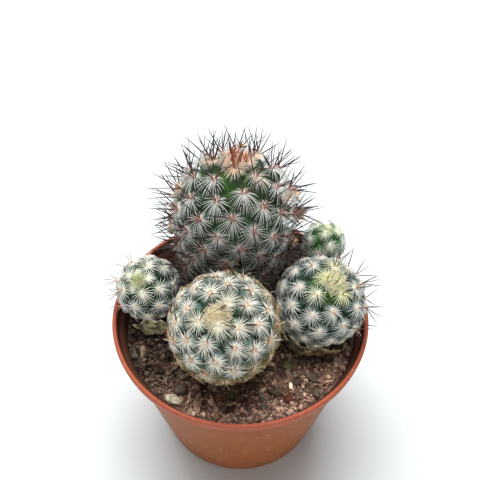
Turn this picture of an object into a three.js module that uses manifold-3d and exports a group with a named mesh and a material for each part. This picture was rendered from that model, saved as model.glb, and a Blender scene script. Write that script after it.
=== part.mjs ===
// A clump of Mammillaria microhelia in a round plastic nursery pot.
// Sizes are in millimetres, +Z is up and +Y is away from the viewer.
// The origin is the middle of the pot's underside.

import * as THREE from 'three';
import { ConvexHull } from 'three/addons/math/ConvexHull.js';
import { mergeVertices } from 'three/addons/utils/BufferGeometryUtils.js';
import Module from 'manifold-3d';

const wasm = await Module();
wasm.setup();

// Driving dimensions of the pot
const potHeight = 72;
const rimRadius = 52.5;
const baseRadius = 37;
const shoulderRadius = 49.6;
const shoulderHeight = 66.4;
const wall = 1.2;
const floorThickness = 1.6;
const potSides = 36;
const drainHoles = 6;
const drainHoleRadius = 3.5;
const drainCircleRadius = 26;

// Driving dimensions of the soil
const seatGap = 0.3;
const soilEdge = 63.5;
const soilMound = 2.5;
const crumbHeight = 0.45;
const crumbSeed = 18;
const neckDepth = 8;
const neckSides = 10;
const stoneLift = 0.25;
const scrapLift = 0.3;
const scrapFullness = 1.1;

// Driving dimensions of the heads
const goldenAngle = THREE.MathUtils.degToRad(137.50776);
const youngShare = 0.7;
const lowestTubercle = 3.2;
const neckBend = 0.35;
const spineStep = 0.4;
const shortestSpine = 1.2;
const soilClearance = 2.6;
const shoulderWidth = 1.25;
const shoulderDrop = 0.6;
const knobWidth = 0.75;
const knobRise = 0.25;
const radialRise = THREE.MathUtils.degToRad(10);
const radialRoom = 0.92;
const lengthSpread = 0.1;
const spineClearance = 0.25;

// Each head's middle lies where its domed crown meets its barrel. Lean is the sine of its tilt to +X and +Y.
// A cell is the skin that one tubercle covers, in square millimetres, and start counts the cells that the
// woolly crown takes up before the first grown tubercle.
const heads = [
  {
    name: 'head_main', colour: 0x4f6b4c, middle: [-2.3, 24, 107], lean: [0.05, 0.135], radius: 23.8,
    rise: 0.9, barrel: 40, taper: 0.2, turn: 4.53, cell: 84.3, start: 1.08, youngest: -2, tubercle: 3.9,
    radial: 5, central: 10.5, centrals: 3, centralTilt: 34, neck: 15,
  },
  {
    name: 'head_front', colour: 0x8fa393, middle: [-6.1, -22, 90], lean: [-0.114, -0.39], radius: 20.5,
    rise: 0.8, barrel: 20, taper: 0.5, turn: 4.83, cell: 55.9, start: 0.56, youngest: -1, tubercle: 3.1,
    radial: 4.6, central: 5.5, centrals: 1, centralTilt: 38, neck: 8,
  },
  {
    name: 'head_right', colour: 0x6f8a70, middle: [31.3, -6, 85], lean: [0.18, -0.22], radius: 17.5,
    rise: 0.96, barrel: 20, taper: 0.48, turn: 2.9, cell: 60.3, start: 0.3, youngest: -1, tubercle: 3.1,
    radial: 4.6, central: 8.5, centrals: 1, centralTilt: 38, neck: 7,
  },
  {
    name: 'head_left', colour: 0x6d8a6c, middle: [-37.5, 4.5, 80], lean: [-0.18, -0.43], radius: 12.9,
    rise: 0.97, barrel: 18, taper: 0.29, turn: 4.98, cell: 52.7, start: 1.4, youngest: -1, tubercle: 2.7,
    radial: 4.3, central: 6.5, centrals: 1, centralTilt: 38, neck: 6,
  },
  {
    name: 'head_back', colour: 0x5f9a58, middle: [34.8, 20.6, 91], lean: [0.05, -0.2], radius: 8.3,
    rise: 0.95, barrel: 24, taper: 0.4, turn: 3.97, cell: 40, start: 0.2, youngest: 0, tubercle: 2.2,
    radial: 3.2, central: 3.4, centrals: 0, centralTilt: 38, neck: 3.6,
  },
];

// Stones and scraps of bark that lie on the soil: place on the soil, half sizes and turn in degrees.
// The larger, rounder stones have detail 1.
const stones = [
  { name: 'stone_cream', colour: 0xd9cfb4, at: [-25.3, -37.4], half: [4.1, 2.2, 1.7], turn: -35, detail: 1 },
  { name: 'pebble_brown', colour: 0x75695c, at: [-22.6, -33.6], half: [2.4, 2.1, 1.9], turn: 0, detail: 1 },
  { name: 'stone_tan', colour: 0xa68d6e, at: [-39.4, -15.7], half: [1.5, 2.8, 1.4], turn: 5 },
  { name: 'stone_grey_left', colour: 0x55504a, at: [-42.3, -17.9], half: [1.4, 1.9, 1.3], turn: 20 },
  { name: 'pebble_green_front', colour: 0x77794f, at: [-3.6, -36.1], half: [1.7, 1.6, 1.5], turn: 0 },
  { name: 'pebble_green_middle', colour: 0x868a5a, at: [6.4, -32.9], half: [1.4, 1.3, 1.3], turn: 40 },
  { name: 'pebble_olive', colour: 0x6a6b45, at: [18.4, -23.9], half: [2.4, 2.3, 2], turn: 15, detail: 1 },
  { name: 'stone_cream_small', colour: 0xb7a98c, at: [21.4, -26.9], half: [1.2, 1.7, 1.2], turn: 25 },
  { name: 'pebble_purple', colour: 0x6f625f, at: [24.6, -21.6], half: [1.9, 1.9, 1.5], turn: 0 },
  { name: 'pebble_blue_grey', colour: 0x5c6361, at: [21.5, -30.3], half: [1.6, 1.5, 1.3], turn: 30 },
  { name: 'stone_grey_tan', colour: 0x7a7060, at: [27.9, -28], half: [2.6, 2.1, 1.7], turn: -20 },
  { name: 'stone_brown_flat', colour: 0x6e5e49, at: [13.3, -34], half: [3, 2.1, 1.4], turn: -8 },
  { name: 'stone_pale', colour: 0x9a9488, at: [8.2, -36.6], half: [1.2, 1.7, 1.2], turn: 12 },
  { name: 'pebble_grey_front', colour: 0x6f6d68, at: [8.5, -40.6], half: [1.4, 1.3, 1.2], turn: 0 },
  { name: 'stone_grey_green', colour: 0x6d6f62, at: [28.7, -34.6], half: [2, 2, 1.5], turn: 50 },
];
const scraps = [
  { name: 'bark_red', colour: 0x6e4530, at: [18, -35.9], size: [3, 5.6, 1.4], turn: 14 },
  { name: 'bark_dark', colour: 0x2b211d, at: [-1.6, -40.1], size: [12.6, 1.8, 1.3], turn: 33 },
  { name: 'twig_pale', colour: 0x8d7a6c, at: [-15.2, -37], size: [1.1, 8, 1], turn: 4 },
];

// A repeatable random number between 0 and 1
function dice(seed) {
  let state = seed;
  return () => {
    state = (state + 0x6d2b79f5) | 0;
    let mixed = Math.imul(state ^ (state >>> 15), 1 | state);
    mixed = (mixed + Math.imul(mixed ^ (mixed >>> 7), 61 | mixed)) ^ mixed;
    return ((mixed ^ (mixed >>> 14)) >>> 0) / 4294967296;
  };
}

// A closed geometry becomes a solid that can be joined and cut
function solid(geometry) {
  const bare = geometry.clone();
  bare.deleteAttribute('normal');
  bare.deleteAttribute('uv');
  const merged = mergeVertices(bare, 1e-4);
  const corners = Array.from(merged.index.array);
  const triangles = [];
  for (let i = 0; i < corners.length; i += 3) {
    const [a, b, c] = corners.slice(i, i + 3);
    if (a !== b && b !== c && c !== a) triangles.push(a, b, c);
  }
  return new wasm.Manifold(new wasm.Mesh({
    numProp: 3,
    vertProperties: new Float32Array(merged.attributes.position.array),
    triVerts: new Uint32Array(triangles),
  }));
}

// A named mesh from a solid
function piece(name, body, colour, roughness) {
  const { numProp, vertProperties, triVerts } = body.getMesh();
  const geometry = new THREE.BufferGeometry();
  const points = [];
  for (let i = 0; i < vertProperties.length; i += numProp) {
    points.push(vertProperties[i], vertProperties[i + 1], vertProperties[i + 2]);
  }
  geometry.setAttribute('position', new THREE.Float32BufferAttribute(points, 3));
  geometry.setIndex(Array.from(triVerts));
  geometry.computeVertexNormals();
  const material = new THREE.MeshStandardMaterial({ color: colour, roughness, metalness: 0 });
  const mesh = new THREE.Mesh(geometry, material);
  mesh.name = name;
  return mesh;
}

// An upright cylinder between two heights
function post(x, y, low, high, radius, sides) {
  const geometry = new THREE.CylinderGeometry(radius, radius, high - low, sides);
  geometry.rotateX(Math.PI / 2);
  geometry.translate(x, y, (low + high) / 2);
  return solid(geometry);
}

// A solid of revolution about Z from a profile of radius and height
function turned(profile) {
  const points = profile.map(([radius, height]) => new THREE.Vector2(radius, height));
  return new THREE.LatheGeometry(points, potSides).rotateX(Math.PI / 2);
}

// The pot's inner radius at a height, below its collar
const wallSlope = (shoulderRadius - baseRadius) / shoulderHeight;
function innerRadius(height) {
  return baseRadius + wallSlope * height - wall;
}

// The height of the soil, a low mound with fine crumbs
function soilHeight(x, y) {
  const reach = (x * x + y * y) / innerRadius(soilEdge) ** 2;
  return soilEdge + soilMound * (1 - reach);
}

// Pot: one moulding with a rolled lip, a short collar, a tapered wall and a flat floor with drain holes
function makePot() {
  const lip = rimRadius - 1.6;
  const shell = solid(turned([
    [0, 0],
    [baseRadius - 0.7, 0],
    [baseRadius, 0.7],
    [shoulderRadius, shoulderHeight],
    [rimRadius - 1, shoulderHeight + 0.8],
    [rimRadius - 0.2, potHeight - 1.9],
    [rimRadius, potHeight - 1.1],
    [rimRadius - 0.3, potHeight - 0.3],
    [rimRadius - 0.8, potHeight],
    [lip + 0.3, potHeight - 0.2],
    [lip, potHeight - 0.9],
    [lip - 0.6, shoulderHeight + 1.9],
    [shoulderRadius - wall, shoulderHeight],
    [innerRadius(floorThickness), floorThickness],
    [0, floorThickness],
  ]));
  let pot = shell;
  for (let i = 0; i < drainHoles; i++) {
    const angle = (i + 0.5) * 2 * Math.PI / drainHoles;
    const x = drainCircleRadius * Math.cos(angle);
    const y = drainCircleRadius * Math.sin(angle);
    pot = pot.subtract(post(x, y, -1, floorThickness + 1, drainHoleRadius, 10));
  }
  return pot;
}

// Soil: potting mix that fills the pot, with crumbs on top
function makeSoil() {
  const random = dice(crumbSeed);
  const low = floorThickness + seatGap;
  const edge = innerRadius(soilEdge) - seatGap;
  const rings = [edge, 44, 39, 33, 26, 18, 9];
  const profile = [[0, low], [innerRadius(low) - seatGap, low]];
  profile.push(...rings.map((radius) => [radius, soilEdge]), [0, soilEdge]);
  const geometry = turned(profile);
  const position = geometry.attributes.position;
  const crumbs = new Map();
  for (let i = 0; i < position.count; i++) {
    if (position.getZ(i) < soilEdge - 1) continue;
    const x = position.getX(i);
    const y = position.getY(i);
    const key = `${x.toFixed(2)} ${y.toFixed(2)}`.replaceAll('-0.00', '0.00');
    if (!crumbs.has(key)) crumbs.set(key, crumbHeight * (2 * random() - 1));
    position.setZ(i, soilHeight(x, y) + crumbs.get(key));
  }
  return solid(geometry);
}

// A weathered stone: a faceted ellipsoid, sunk a little over a third of its height in the soil
function stoneShape(stone, grow) {
  const random = dice(Math.round(stone.half[0] * 1000 + stone.at[0] * 10));
  const geometry = new THREE.IcosahedronGeometry(1, stone.detail);
  const position = geometry.attributes.position;
  const bumps = new Map();
  for (let i = 0; i < position.count; i++) {
    const point = new THREE.Vector3().fromBufferAttribute(position, i);
    const key = point.toArray().map((value) => (value + 3).toFixed(3)).join(' ');
    if (!bumps.has(key)) bumps.set(key, 0.9 + 0.2 * random());
    point.multiplyScalar(bumps.get(key));
    position.setXYZ(i, ...point.toArray());
  }
  geometry.scale(...stone.half.map((value) => value + grow));
  geometry.rotateZ(THREE.MathUtils.degToRad(stone.turn));
  const [x, y] = stone.at;
  geometry.translate(x, y, soilHeight(x, y) + stoneLift * stone.half[2]);
  return solid(geometry);
}

// A scrap of bark or a twig: a splinter with its ends drawn in, half sunk in the soil
function scrapShape(scrap, grow) {
  const [width, length, thick] = scrap.size.map((value) => value / 2 + grow);
  const geometry = new THREE.IcosahedronGeometry(1, 0);
  geometry.scale(...[width, length, thick].map((value) => value * scrapFullness));
  geometry.rotateZ(THREE.MathUtils.degToRad(scrap.turn));
  const [x, y] = scrap.at;
  geometry.translate(x, y, soilHeight(x, y) + scrapLift);
  return solid(geometry);
}

// The turn that leans a head's own +Z towards the way it grows
function leanOf(head) {
  const [x, y] = head.lean;
  const axis = new THREE.Vector3(x, y, Math.sqrt(1 - x * x - y * y));
  return new THREE.Quaternion().setFromUnitVectors(new THREE.Vector3(0, 0, 1), axis);
}

// A head's outline from the apex down, with the skin area above each point and its conformal latitude,
// which carries the head onto a sphere without changing the angles of the tubercle pattern
function outlineOf(head) {
  const domeSteps = 40;
  const barrelSteps = 24;
  const points = [];
  for (let i = 0; i <= domeSteps; i++) {
    const angle = Math.PI / 2 * i / domeSteps;
    points.push({ r: head.radius * Math.sin(angle), z: head.rise * head.radius * Math.cos(angle) });
  }
  for (let i = 1; i <= barrelSteps; i++) {
    const down = i / barrelSteps;
    points.push({ r: head.radius * (1 - head.taper * down * down), z: -head.barrel * down });
  }
  let area = 0;
  let latitude = 0;
  points.forEach((point, i) => {
    if (i > 0) {
      const before = points[i - 1];
      const step = Math.hypot(point.r - before.r, point.z - before.z);
      area += Math.PI * (point.r + before.r) * step;
      latitude += 2 * step / (point.r + before.r);
    }
    point.area = area;
    point.latitude = latitude;
  });
  const equator = points[domeSteps].latitude;
  points.forEach((point) => {
    point.latitude -= equator;
  });
  return points;
}

// The areoles of a head in the order they grew, each a golden angle round from the last.
// Every one takes the same area of skin, and those inside the crown are younger and smaller.
function areolesOf(head) {
  const outline = outlineOf(head);
  const lean = leanOf(head);
  const middle = new THREE.Vector3(...head.middle);
  const areoles = [];
  let row = 0;
  for (let age = head.youngest; ; age++) {
    const cells = age < 0 ? head.start * youngShare ** -age : head.start + age;
    const area = head.cell * cells;
    while (row < outline.length && outline[row].area <= area) row++;
    if (row === outline.length) break;
    const above = outline[row - 1];
    const below = outline[row];
    const share = (area - above.area) / (below.area - above.area);
    const r = THREE.MathUtils.lerp(above.r, below.r, share);
    const z = THREE.MathUtils.lerp(above.z, below.z, share);
    const latitude = THREE.MathUtils.lerp(above.latitude, below.latitude, share);
    const slope = new THREE.Vector2(above.z - below.z, below.r - above.r).normalize();
    const angle = head.turn + goldenAngle * age;
    const around = (flat, up) => new THREE.Vector3(flat * Math.cos(angle), flat * Math.sin(angle), up);
    const tip = around(r, z).applyQuaternion(lean).add(middle);
    if (tip.z < soilHeight(tip.x, tip.y) + lowestTubercle) continue;
    const polar = 2 * Math.atan(Math.exp(latitude));
    areoles.push({
      tip,
      out: around(slope.x, slope.y).applyQuaternion(lean),
      onSphere: around(Math.sin(polar), Math.cos(polar)),
      size: age < 0 ? Math.sqrt(cells * Math.log(1 / youngShare)) : 1,
    });
  }
  return areoles;
}

// A head as a bare capsule, for keeping neighbouring heads apart
function capsuleOf(head) {
  const axis = new THREE.Vector3(0, 0, 1).applyQuaternion(leanOf(head));
  const middle = new THREE.Vector3(...head.middle);
  const bottom = middle.clone().addScaledVector(axis, -head.barrel);
  const top = middle.clone().addScaledVector(axis, (head.rise - 1) * head.radius);
  return { bottom, top };
}

// The nearest points of two short line segments, by steps
function nearestPoints(first, second) {
  let best = { distance: Infinity };
  const steps = 40;
  for (let i = 0; i <= steps; i++) {
    for (let j = 0; j <= steps; j++) {
      const a = first.bottom.clone().lerp(first.top, i / steps);
      const b = second.bottom.clone().lerp(second.top, j / steps);
      const distance = a.distanceTo(b);
      if (distance < best.distance) best = { distance, a, b };
    }
  }
  return best;
}

// The flat limits between a head and each neighbour, halfway across the gap between them
function limitsOf(head) {
  return heads.filter((other) => other !== head).map((other) => {
    const { distance, a, b } = nearestPoints(capsuleOf(head), capsuleOf(other));
    const normal = b.clone().sub(a).normalize();
    const reach = head.radius + (distance - head.radius - other.radius) / 2 - spineClearance;
    return new THREE.Plane().setFromNormalAndCoplanarPoint(normal, a.addScaledVector(normal, reach));
  });
}

// A spine's length, shortened where it would reach another head, the soil or the pot
function clearLength(from, direction, length, limits) {
  for (let tryLength = length; tryLength >= shortestSpine; tryLength -= spineStep) {
    const tip = from.clone().addScaledVector(direction, tryLength);
    const off = Math.hypot(tip.x, tip.y);
    const clearOfHeads = limits.every((limit) => limit.distanceToPoint(tip) < 0);
    const clearOfSoil = off > rimRadius || tip.z > soilHeight(tip.x, tip.y) + soilClearance;
    const clearOfPot = tip.z > potHeight + 0.6 || off < innerRadius(soilEdge) - 1;
    if (clearOfHeads && clearOfSoil && clearOfPot) return tryLength;
  }
  return 0;
}

// The ring of valley points round a site, counter-clockwise as seen from outside
function valleysRound(edge, valleys) {
  const ringed = [valleys.get(edge.face)];
  for (let next = edge.next.twin; next !== edge; next = next.next.twin) {
    ringed.unshift(valleys.get(next.face));
  }
  return ringed;
}

// Head: conical tubercles that meet in valleys, each with a knob of wool that the spines stand out of.
// A valley point lies in the middle of each three neighbouring tubercles. The underside closes on the neck.
function makeHead(head) {
  const foot = { tip: neckLevels(head)[1], onSphere: new THREE.Vector3(0, 0, -1) };
  const areoles = areolesOf(head);
  const sites = [...areoles, foot];
  const owner = new Map(sites.map((site) => [site.onSphere, site]));
  const hull = new ConvexHull().setFromPoints(sites.map((site) => site.onSphere));
  const mesh = { points: [], triangles: [] };
  mesh.addPoint = (point) => mesh.points.push(point) - 1;
  mesh.addFace = (...corners) => mesh.triangles.push(...corners);

  const valleys = new Map();
  for (const face of hull.faces) {
    const edges = [face.edge, face.edge.next, face.edge.prev];
    const corners = edges.map((edge) => owner.get(edge.vertex.point));
    const point = new THREE.Vector3();
    corners.forEach((corner) => point.addScaledVector(corner.tip, 1 / 3));
    const underside = corners.includes(foot);
    if (!underside) {
      const outward = corners.reduce((sum, corner) => sum.add(corner.out), new THREE.Vector3()).normalize();
      point.addScaledVector(outward, -head.tubercle * Math.min(...corners.map((corner) => corner.size)));
    }
    valleys.set(face, { point, underside, index: mesh.addPoint(point) });
    edges.forEach((edge, i) => {
      corners[i].edge = edge;
    });
  }

  const footIndex = mesh.addPoint(foot.tip);
  valleysRound(foot.edge, valleys).forEach((valley, i, ringed) => {
    mesh.addFace(valley.index, ringed[(i + 1) % ringed.length].index, footIndex);
  });
  const limits = limitsOf(head);
  const random = dice(Math.round(head.cell * 100));
  for (const areole of areoles) {
    addTubercle(mesh, head, areole, valleysRound(areole.edge, valleys), limits, random);
  }

  const body = new wasm.Manifold(new wasm.Mesh({
    numProp: 3,
    vertProperties: new Float32Array(mesh.points.flatMap((point) => point.toArray())),
    triVerts: new Uint32Array(mesh.triangles),
  }));
  return body.add(neckShape(head));
}

// Tubercle: its sides run up from the valleys to a knob. A radial spine stands out of the knob over each
// valley, and the central spines stand out of the knob's top.
function addTubercle(mesh, head, areole, ringed, limits, random) {
  const { tip, out, size } = areole;
  const count = ringed.length;
  const at = (list, i) => list[(i + count) % count];
  const flat = (point) => point.clone().sub(tip).projectOnPlane(out);
  const towards = ringed.map((valley) => flat(valley.point).normalize());
  const between = towards.map((direction, i) => direction.clone().add(at(towards, i + 1)).normalize());
  const ring = (radius, height) => between.map((direction) => {
    const point = tip.clone().addScaledVector(direction, radius * size).addScaledVector(out, height * size);
    return { point, index: mesh.addPoint(point) };
  });
  const shoulder = ring(shoulderWidth, -shoulderDrop);
  const knob = ring(knobWidth, 0);
  const top = tip.clone().addScaledVector(out, knobRise * size);
  const topIndex = mesh.addPoint(top);
  const tilt = THREE.MathUtils.degToRad(head.centralTilt);
  const offset = Math.floor(random() * count);
  const spacing = Math.ceil(count / head.centrals);

  for (let i = 0; i < count; i++) {
    const [corner, nextCorner] = [at(shoulder, i - 1), shoulder[i]];
    const [knobCorner, nextKnob] = [at(knob, i - 1), knob[i]];
    mesh.addFace(ringed[i].index, at(ringed, i + 1).index, nextCorner.index);
    mesh.addFace(ringed[i].index, nextCorner.index, corner.index);

    const base = [corner, nextCorner, nextKnob, knobCorner];
    const radialRoot = new THREE.Vector3();
    base.forEach(({ point }) => radialRoot.addScaledVector(point, 1 / 4));
    const radial = towards[i].clone().multiplyScalar(Math.cos(radialRise));
    radial.addScaledVector(out, Math.sin(radialRise));
    const room = radialRoom * flat(ringed[i].point).length() - size;
    const wanted = Math.min(head.radial * size, room) * (1 - lengthSpread * random());
    const reach = ringed[i].underside ? 0 : clearLength(radialRoot, radial, wanted, limits);
    raise(mesh, base.map(({ index }) => index), radialRoot, radial, reach);

    const side = [knob[i], at(knob, i + 1)];
    const root = side[0].point.clone().add(side[1].point).add(top).divideScalar(3);
    const central = flat(root).normalize().multiplyScalar(Math.sin(tilt));
    central.addScaledVector(out, Math.cos(tilt));
    const chosen = head.centrals > 0 && (i + offset) % count % spacing === 0;
    const length = head.central * size * (1 - lengthSpread * random());
    const stands = chosen ? clearLength(root, central, length, limits) : 0;
    raise(mesh, [side[0].index, side[1].index, topIndex], root, central, stands);
  }
}

// A flat facet, or the spine that is drawn out of it when it has a length
function raise(mesh, corners, root, direction, length) {
  if (length === 0) {
    for (let i = 1; i < corners.length - 1; i++) mesh.addFace(corners[0], corners[i], corners[i + 1]);
    return;
  }
  const end = mesh.addPoint(root.clone().addScaledVector(direction, length));
  corners.forEach((corner, i) => mesh.addFace(corner, corners[(i + 1) % corners.length], end));
}

// The middle of a head's neck, where it goes into the soil
function neckPlace(head) {
  return capsuleOf(head).bottom;
}

// A head's neck: it comes straight up out of the soil and bends into the head's own lean
function neckLevels(head) {
  const foot = neckPlace(head);
  const soilTop = soilHeight(foot.x, foot.y);
  const axis = new THREE.Vector3(0, 0, 1).applyQuaternion(leanOf(head));
  return [
    new THREE.Vector3(foot.x, foot.y, soilTop - neckDepth),
    new THREE.Vector3(foot.x, foot.y, soilTop + 1),
    new THREE.Vector3(...head.middle).addScaledVector(axis, -neckBend * head.barrel),
  ];
}

function neckShape(head) {
  const levels = neckLevels(head);
  const geometry = new THREE.CylinderGeometry(head.neck, head.neck, 2, neckSides, 2);
  geometry.rotateX(Math.PI / 2);
  const position = geometry.attributes.position;
  for (let i = 0; i < position.count; i++) {
    const level = levels[Math.round(position.getZ(i)) + 1];
    position.setXYZ(i, position.getX(i) + level.x, position.getY(i) + level.y, level.z);
  }
  return solid(geometry);
}

// The whole plant in its pot
const plant = new THREE.Group();
let soil = makeSoil();
for (const stone of stones) soil = soil.subtract(stoneShape(stone, seatGap));
for (const scrap of scraps) soil = soil.subtract(scrapShape(scrap, seatGap));
for (const head of heads) {
  const { x, y } = neckPlace(head);
  const depth = soilHeight(x, y) - neckDepth - seatGap;
  soil = soil.subtract(post(x, y, depth, potHeight + 5, head.neck + seatGap, neckSides));
}
plant.add(piece('pot', makePot(), 0x9c5a41, 0.45));
plant.add(piece('soil', soil, 0x3b2a21, 0.95));
for (const head of heads) plant.add(piece(head.name, makeHead(head), head.colour, 0.7));
for (const stone of stones) plant.add(piece(stone.name, stoneShape(stone, 0), stone.colour, 0.75));
for (const scrap of scraps) plant.add(piece(scrap.name, scrapShape(scrap, 0), scrap.colour, 0.85));

export default plant;
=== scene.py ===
from math import cos, hypot, pi, radians, sin, sqrt

import bpy
import numpy as np
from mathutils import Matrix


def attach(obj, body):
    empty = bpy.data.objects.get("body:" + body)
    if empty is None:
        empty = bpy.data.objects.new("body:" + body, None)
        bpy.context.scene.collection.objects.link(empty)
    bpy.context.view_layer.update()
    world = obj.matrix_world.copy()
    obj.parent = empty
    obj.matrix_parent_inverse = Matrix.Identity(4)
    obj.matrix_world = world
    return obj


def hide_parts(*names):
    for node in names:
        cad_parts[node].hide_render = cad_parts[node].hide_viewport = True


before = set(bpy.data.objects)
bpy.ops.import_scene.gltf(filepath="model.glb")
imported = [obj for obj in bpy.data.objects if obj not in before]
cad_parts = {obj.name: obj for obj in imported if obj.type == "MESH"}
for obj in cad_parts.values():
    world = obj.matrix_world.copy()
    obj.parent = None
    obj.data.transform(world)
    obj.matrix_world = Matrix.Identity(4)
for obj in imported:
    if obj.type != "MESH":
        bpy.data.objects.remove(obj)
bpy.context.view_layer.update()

# Camera, light and table
# The plant stands on a plain white table and is seen from the front and from well above it. A white room,
# a broad soft lamp overhead and a small one in front light it. None of this is part of the plant.
camera_lens = bpy.data.cameras.new("camera")
camera_lens.lens = 45
camera_lens.sensor_width = 36
camera = bpy.data.objects.new("camera", camera_lens)
camera.location = (-0.00016, -0.1511, 0.2704)
camera.rotation_euler = (radians(43.8), 0, 0)
bpy.context.collection.objects.link(camera)
bpy.context.scene.camera = camera
bpy.context.scene.view_settings.view_transform = "Standard"

room = bpy.data.worlds.new("white_room")
room.use_nodes = True
room.node_tree.nodes["Background"].inputs["Color"].default_value = (1, 1, 1, 1)
room.node_tree.nodes["Background"].inputs["Strength"].default_value = 0.2
bpy.context.scene.world = room


def soft_lamp(name, place, tilt, width, power):
    """A square soft lamp, hung at a place in metres and tilted in degrees about X."""
    light = bpy.data.lights.new(name, "AREA")
    light.size = width
    light.energy = power
    lamp = bpy.data.objects.new(name, light)
    lamp.location = place
    lamp.rotation_euler = (radians(tilt), 0, 0)
    bpy.context.collection.objects.link(lamp)


soft_lamp("lamp_overhead", (-0.08, 0.27, 0.9), -16, 0.8, 13)
soft_lamp("lamp_front", (0.05, -0.95, 0.1), 86, 0.4, 3.2)


def tint(red, green, blue):
    """A paint colour from its red, green and blue on a screen, each 0 to 255."""
    return (*(((level / 255 + 0.055) / 1.055) ** 2.4 for level in (red, green, blue)), 1)


class Layer:
    """A value that changes over a surface. Sums and products of layers add Math nodes to the finish."""

    def __init__(self, finish, socket):
        self.finish = finish
        self.socket = socket

    def maths(self, operation, first, second):
        return self.finish.node("Math", {"operation": operation}, {0: first, 1: second})

    def __add__(self, other):
        return self.maths("ADD", self, other)

    def __sub__(self, other):
        return self.maths("SUBTRACT", self, other)

    def __mul__(self, other):
        return self.maths("MULTIPLY", self, other)

    __radd__ = __add__
    __rmul__ = __mul__


class Finish:
    """The finish of a piece: a ground colour, what is even all over, and what is then painted on it."""

    def __init__(self, name, ground, **even):
        self.material = bpy.data.materials.new(name)
        self.material.use_nodes = True
        self.shader = self.material.node_tree.nodes["Principled BSDF"]
        self.colour = tint(*ground)
        for label, value in even.items():
            self.feed(self.shader, label.replace("_", " "), value)

    def feed(self, node, label, value):
        if isinstance(value, Layer):
            self.material.node_tree.links.new(value.socket, node.inputs[label])
        else:
            node.inputs[label].default_value = value

    def node(self, kind, settings, sockets, output=0):
        """Adds a node of a kind. Its settings come first, then the values or links of its sockets."""
        node = self.material.node_tree.nodes.new("ShaderNode" + kind)
        for label, value in settings.items():
            setattr(node, label, value)
        for label, value in sockets.items():
            self.feed(node, label, value)
        return Layer(self, node.outputs[output])

    def mark(self, name):
        """What the mesh says at each point under a name."""
        return self.node("Attribute", {"attribute_name": name}, {}, "Fac")

    def grain(self, size, detail=3, stretch=(1, 1, 1)):
        """Cloudy unevenness between 0 and 1 with patches of a size in millimetres."""
        place = self.node("TexCoord", {}, {}, "Object")
        place = self.node("VectorMath", {"operation": "MULTIPLY"}, {0: place, 1: stretch})
        return self.node("TexNoise", {}, {"Vector": place, "Scale": 1000 / size, "Detail": detail})

    def step(self, value, low, high):
        """0 at low, 1 at high and smooth between. Low may be the greater of the two."""
        sockets = {"Value": value, "From Min": low, "From Max": high}
        return self.node("MapRange", {"interpolation_type": "SMOOTHSTEP"}, sockets)

    def mix(self, low, high, share):
        """One colour or the other, or between, by share."""
        return self.node("Mix", {"data_type": "RGBA"}, {0: share, 6: low, 7: high}, 2)

    def paint(self, colour, share):
        """Covers the colour so far by share with a colour from a screen."""
        self.colour = self.mix(self.colour, tint(*colour), share)

    def relief(self, height, depth):
        """Raises the surface by height times a depth in millimetres."""
        bump = self.node("Bump", {}, {"Height": height, "Distance": depth * 0.001})
        self.feed(self.shader, "Normal", bump)


def make_piece(name, points, faces, finish, smooth=True, **marks):
    """A mesh from points in millimetres and lists of triangles or quads, with marks for its finish."""
    mesh = bpy.data.meshes.new(name)
    every_face = [face for some in faces for face in np.asarray(some).tolist()]
    mesh.from_pydata(np.asarray(points, dtype=np.float32) * 0.001, [], every_face, shade_flat=not smooth)
    for label, values in marks.items():
        mark = mesh.attributes.new(label, "FLOAT", "POINT")
        mark.data.foreach_set("value", np.asarray(values, dtype=np.float32))
    finish.feed(finish.shader, "Base Color", finish.colour)
    mesh.materials.append(finish.material)
    piece = bpy.data.objects.new(name, mesh)
    bpy.context.collection.objects.link(piece)
    return piece


reach = 1500
white = Finish("white_table", (234, 241, 243), Roughness=0.6, Specular_IOR_Level=0.2)
white.paint((238, 245, 247), white.grain(40))
corners = [(-reach, -reach, 0), (reach, -reach, 0), (reach, reach, 0), (-reach, reach, 0)]
table = make_piece("table", corners, [[(0, 1, 2, 3)]], white)

# Pot
# A thin nursery pot moulded in one piece from terracotta-coloured plastic: a rolled lip, a short collar,
# a tapered wall with a satin skin, and a flat floor with drain holes.
pot_height = 72
rim_radius = 52.5
base_radius = 37
shoulder_radius = 49.6
shoulder_height = 66.4
wall = 1.2
floor_thickness = 1.6
drain_holes = 6
drain_hole_radius = 3.5
drain_circle_radius = 26


def inner_radius(height):
    """The radius inside the pot's wall at a height."""
    return base_radius + (shoulder_radius - base_radius) / shoulder_height * height - wall


def arc(middle, reach, first, last, steps):
    """Points of radius and height along an arc, with angles in degrees."""
    angles = np.radians(np.linspace(first, last, steps))
    return [(middle[0] + reach * cos(a), middle[1] + reach * sin(a)) for a in angles]


def wrap(rows, columns):
    """Quads between rows of points that each close round."""
    start = np.arange(columns)
    after = (start + 1) % columns
    row = np.arange(rows - 1)[:, None] * columns
    quads = np.stack([row + start, row + after, row + columns + after, row + columns + start], axis=2)
    return quads.reshape(-1, 4)


def cap(centre, ring):
    """Triangles from one point to a ring of points."""
    return np.stack([np.full(len(ring), centre), ring, np.roll(ring, -1)], axis=1)


def repeated(faces, count, each):
    """Faces of many like shapes that have so many points each."""
    faces = np.asarray(faces)
    return (faces[None] + np.arange(count)[:, None, None] * each).reshape(-1, faces.shape[1])


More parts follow.
